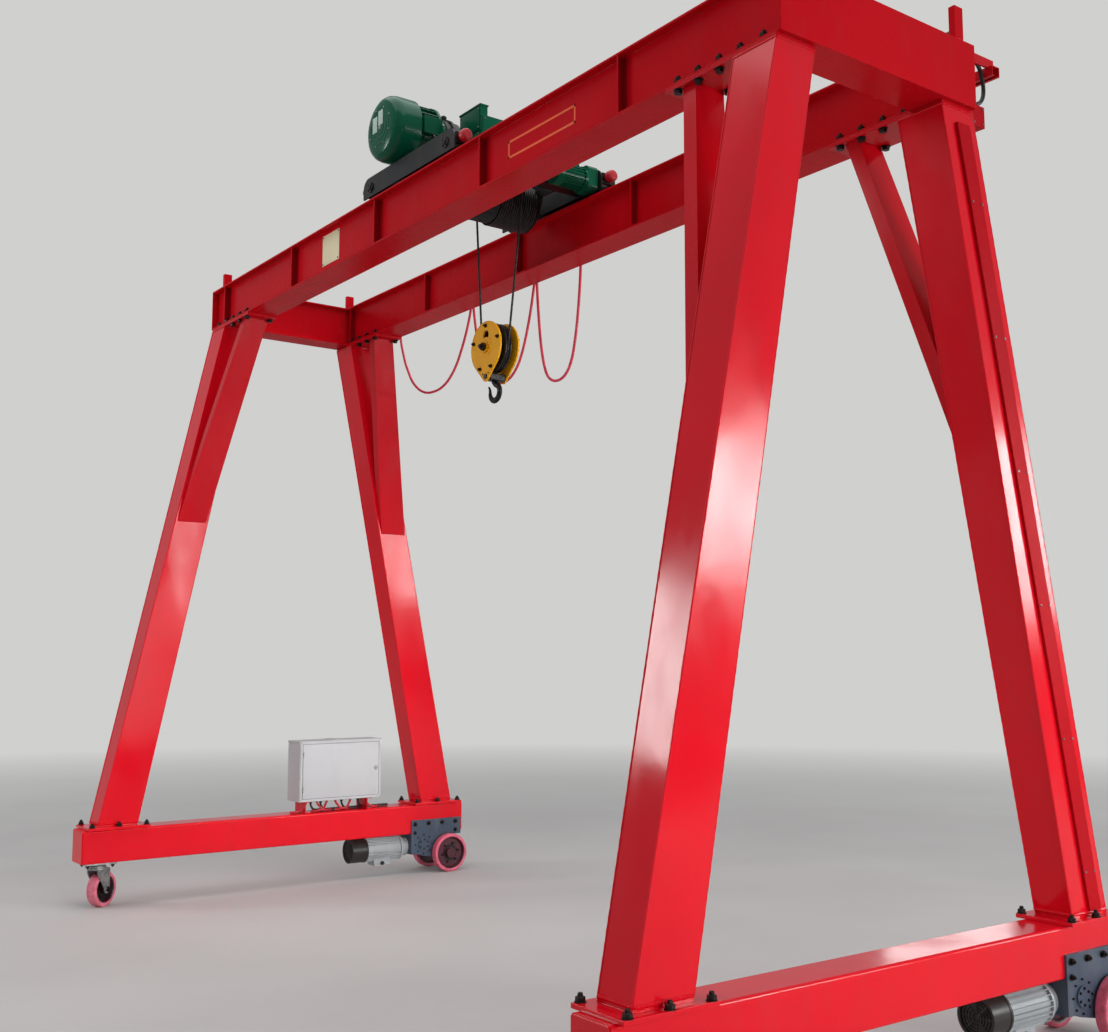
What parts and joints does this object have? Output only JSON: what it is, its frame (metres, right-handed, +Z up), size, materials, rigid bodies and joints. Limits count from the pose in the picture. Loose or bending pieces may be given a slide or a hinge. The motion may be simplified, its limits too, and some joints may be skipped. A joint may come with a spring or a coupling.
{
  "type": "double girder gantry crane",
  "caption": "Mobile A-leg gantry crane with box girders, a rail trolley with rope hoist, hook block, festoon cable and powered wheels.",
  "frame": {"origin": "centre of the footprint, on the floor", "axes": "+X along the girders towards the near frame, +Y along the bottom beams towards the driven wheels, +Z up"},
  "size_m": [5.12, 2.56, 4.273],
  "materials": {
    "crane_red": "gloss paint, sprayed",
    "brace_red": "gloss paint, sprayed",
    "rail_steel": "mill steel, worn bright on top",
    "dark_steel": "satin dark paint",
    "zinc_steel": "zinc plated",
    "pink_tyre": "cast polyurethane",
    "housing_grey": "satin paint",
    "motor_silver": "cast and painted silver",
    "hoist_green": "gloss paint",
    "trolley_black": "satin paint",
    "buffer_red": "moulded polyurethane",
    "drum_grey": "machined grooves, greased",
    "rope_steel": "stranded wire, greased",
    "block_yellow": "gloss paint, chipped",
    "forged_steel": "dark forged scale",
    "cable_pink": "soft rubber sheath",
    "cable_black": "soft rubber sheath",
    "cabinet_white": "powder coat"
  },
  "bodies": {
    "frame": {"bottom_beams": "crane_red", "legs": "crane_red", "knee_braces": "brace_red", "leg_head_plates": "brace_red", "end_beams": "crane_red", "front_girder": "crane_red", "back_girder": "crane_red", "trolley_rails": "rail_steel", "rail_stops": "crane_red", "caster_plates": "zinc_steel", "drive_housings": "housing_grey", "drive_motors": "motor_silver", "festoon_rail": "zinc_steel", "festoon_loop_1": "cable_pink", "festoon_loop_2": "cable_pink", "festoon_loop_3": "cable_pink", "supply_cable": "cable_black", "cable_entry": "brace_red", "control_cabinet": "cabinet_white", "cabinet_bracket": "crane_red"},
    "near_caster": {"near_caster_fork": "dark_steel"},
    "far_caster": {"far_caster_fork": "dark_steel"},
    "near_caster_roller": {"near_caster_wheel": "pink_tyre"},
    "far_caster_roller": {"far_caster_wheel": "pink_tyre"},
    "near_drive": {"near_drive_wheels": "pink_tyre"},
    "far_drive": {"far_drive_wheels": "pink_tyre"},
    "trolley": {"trolley_frame": "trolley_black", "trolley_buffers": "buffer_red", "cross_drive": "hoist_green", "hoist_gearbox": "dark_steel", "hoist_motor": "hoist_green", "control_box": "hoist_green", "hoist_ropes": "rope_steel"},
    "wheel_1": {"trolley_wheel_1": "dark_steel"},
    "wheel_2": {"trolley_wheel_2": "dark_steel"},
    "wheel_3": {"trolley_wheel_3": "dark_steel"},
    "wheel_4": {"trolley_wheel_4": "dark_steel"},
    "drum": {"hoist_drum": "drum_grey"},
    "hook_block": {"block_cheeks": "block_yellow", "sheave_rope": "rope_steel"},
    "sheave": {"block_sheave": "dark_steel"},
    "crosshead": {"hook_crosshead": "forged_steel"},
    "hook": {"lifting_hook": "forged_steel"},
    "carrier_1": {"festoon_carrier_1": "zinc_steel"},
    "carrier_2": {"festoon_carrier_2": "zinc_steel"}
  },
  "joints": [
    {"name": "trolley_travel", "type": "slide", "parent": "frame", "child": "trolley", "axis": [1, 0, 0], "range_m": [-1.877, 2.041], "deforming": ["festoon_loop_1", "festoon_loop_2", "festoon_loop_3"]},
    {"name": "wheel_1_roll", "type": "hinge", "parent": "trolley", "child": "wheel_1", "pos_m": [0.288, -0.44, 3.872], "axis": [0, 1, 0], "range_deg": [-1940, 2110]},
    {"name": "wheel_2_roll", "type": "hinge", "parent": "trolley", "child": "wheel_2", "pos_m": [-0.452, -0.44, 3.872], "axis": [0, 1, 0], "range_deg": [-1940, 2110]},
    {"name": "wheel_3_roll", "type": "hinge", "parent": "trolley", "child": "wheel_3", "pos_m": [0.288, 0.44, 3.872], "axis": [0, 1, 0], "range_deg": [-1940, 2110]},
    {"name": "wheel_4_roll", "type": "hinge", "parent": "trolley", "child": "wheel_4", "pos_m": [-0.452, 0.44, 3.872], "axis": [0, 1, 0], "range_deg": [-1940, 2110]},
    {"name": "hoist_lift", "type": "slide", "parent": "trolley", "child": "hook_block", "axis": [0, 0, 1], "range_m": [-2.4, 0.38], "deforming": ["hoist_ropes"]},
    {"name": "drum_turn", "type": "hinge", "parent": "trolley", "child": "drum", "pos_m": [-0.082, 0, 3.8], "axis": [0, 1, 0], "range_deg": [-2280, 370]},
    {"name": "sheave_turn", "type": "hinge", "parent": "hook_block", "child": "sheave", "pos_m": [-0.082, 0.05, 3.022], "axis": [0, 1, 0], "range_deg": [-1150, 190]},
    {"name": "hook_tilt", "type": "hinge", "parent": "hook_block", "child": "crosshead", "pos_m": [-0.082, 0.05, 2.869], "axis": [0, 1, 0], "range_deg": [-12, 12]},
    {"name": "hook_swivel", "type": "hinge", "parent": "crosshead", "child": "hook", "pos_m": [-0.082, 0.05, 2.869], "axis": [0, 0, 1], "continuous": true},
    {"name": "near_caster_swivel", "type": "hinge", "parent": "frame", "child": "near_caster", "pos_m": [2.399, -1.16, 0.23], "axis": [0, 0, 1], "continuous": true},
    {"name": "near_caster_roll", "type": "hinge", "parent": "near_caster", "child": "near_caster_roller", "pos_m": [2.37319, -1.12314, 0.1], "axis": [0.8192, 0.5736, 0], "continuous": true},
    {"name": "near_drive_roll", "type": "hinge", "parent": "frame", "child": "near_drive", "pos_m": [2.399, 1.155, 0.125], "axis": [1, 0, 0], "continuous": true},
    {"name": "far_caster_swivel", "type": "hinge", "parent": "frame", "child": "far_caster", "pos_m": [-2.399, -1.16, 0.23], "axis": [0, 0, 1], "continuous": true},
    {"name": "far_caster_roll", "type": "hinge", "parent": "far_caster", "child": "far_caster_roller", "pos_m": [-2.42481, -1.12314, 0.1], "axis": [0.8192, 0.5736, 0], "continuous": true},
    {"name": "far_drive_roll", "type": "hinge", "parent": "frame", "child": "far_drive", "pos_m": [-2.399, 1.155, 0.125], "axis": [1, 0, 0], "continuous": true},
    {"name": "carrier_1_slide", "type": "slide", "parent": "frame", "child": "carrier_1", "axis": [1, 0, 0], "range_m": [-0.86, 0.935]},
    {"name": "carrier_2_slide", "type": "slide", "parent": "frame", "child": "carrier_2", "axis": [1, 0, 0], "range_m": [-1.485, 1.615]}
  ],
  "couplings": [
    {"joint": "wheel_1_roll", "follows": "trolley_travel", "rad_per_m": 17.953},
    {"joint": "wheel_2_roll", "follows": "trolley_travel", "rad_per_m": 17.953},
    {"joint": "wheel_3_roll", "follows": "trolley_travel", "rad_per_m": 17.953},
    {"joint": "wheel_4_roll", "follows": "trolley_travel", "rad_per_m": 17.953},
    {"joint": "drum_turn", "follows": "hoist_lift", "rad_per_m": 16.461},
    {"joint": "sheave_turn", "follows": "hoist_lift", "rad_per_m": 8.333},
    {"joint": "carrier_1_slide", "follows": "trolley_travel", "ratio": 0.4555},
    {"joint": "carrier_2_slide", "follows": "trolley_travel", "ratio": 0.7885}
  ]
}
